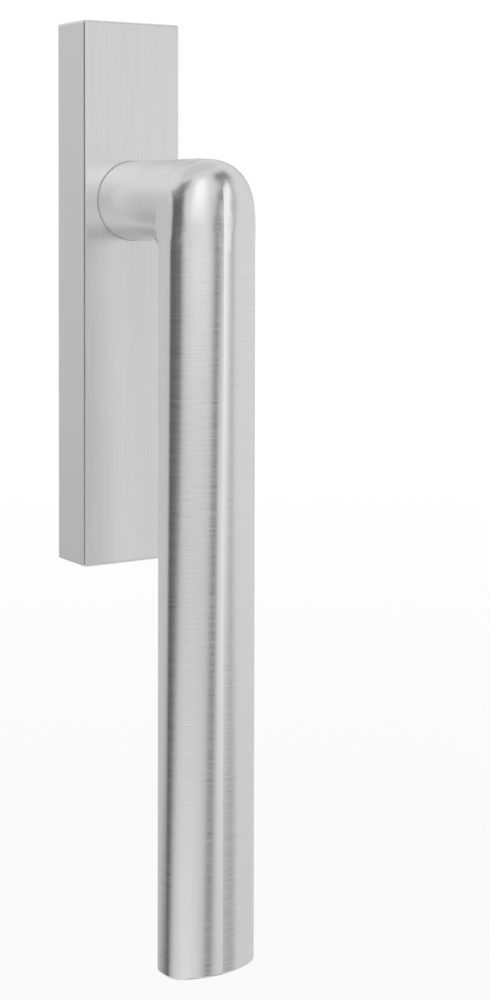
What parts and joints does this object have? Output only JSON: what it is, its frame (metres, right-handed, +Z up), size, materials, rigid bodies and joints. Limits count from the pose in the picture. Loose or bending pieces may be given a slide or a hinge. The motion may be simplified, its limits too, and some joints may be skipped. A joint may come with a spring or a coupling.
{
  "type": "sliding door handle",
  "caption": "Lever handle on a rectangular escutcheon for a lift-and-slide door, with a round neck, half-moon grip and square spindle.",
  "frame": {"origin": "point where the spindle's axis meets the door's face", "axes": "+Z up with the lever hanging down, +Y into the door along the spindle, +X to the right seen from the room"},
  "size_m": [0.04, 0.1173, 0.3315],
  "materials": {
    "grip_steel": "satin stainless steel, brushed across the grip",
    "cover_steel": "satin stainless steel, brushed lengthways",
    "spring_steel": "bright spring steel",
    "zinc_steel": "zinc-plated steel",
    "cast_carrier": "die-cast, tumbled",
    "nylon_black": "moulded nylon",
    "nylon_white": "moulded nylon"
  },
  "bodies": {
    "escutcheon": {"cover": "cover_steel", "guide_ring": "nylon_black", "base_plate": "cast_carrier", "front_bush": "nylon_white", "rear_bush": "nylon_white", "sleeve_upper": "zinc_steel", "sleeve_lower": "zinc_steel", "fixing_screw_upper": "zinc_steel", "fixing_screw_lower": "zinc_steel", "lock_washer_upper": "zinc_steel", "lock_washer_lower": "zinc_steel", "clip_upper": "spring_steel", "clip_lower": "spring_steel", "clip_screw_upper": "zinc_steel", "clip_screw_lower": "zinc_steel"},
    "lever": {"lever": "grip_steel", "spindle": "zinc_steel", "spindle_pin": "zinc_steel", "circlip": "spring_steel", "thrust_washer": "zinc_steel", "disc_spring": "spring_steel"}
  },
  "joints": [
    {"name": "lever_turn", "type": "hinge", "parent": "escutcheon", "child": "lever", "pos_m": [0, 0, 0], "axis": [0, 1, 0], "range_deg": [-180, 180]}
  ]
}
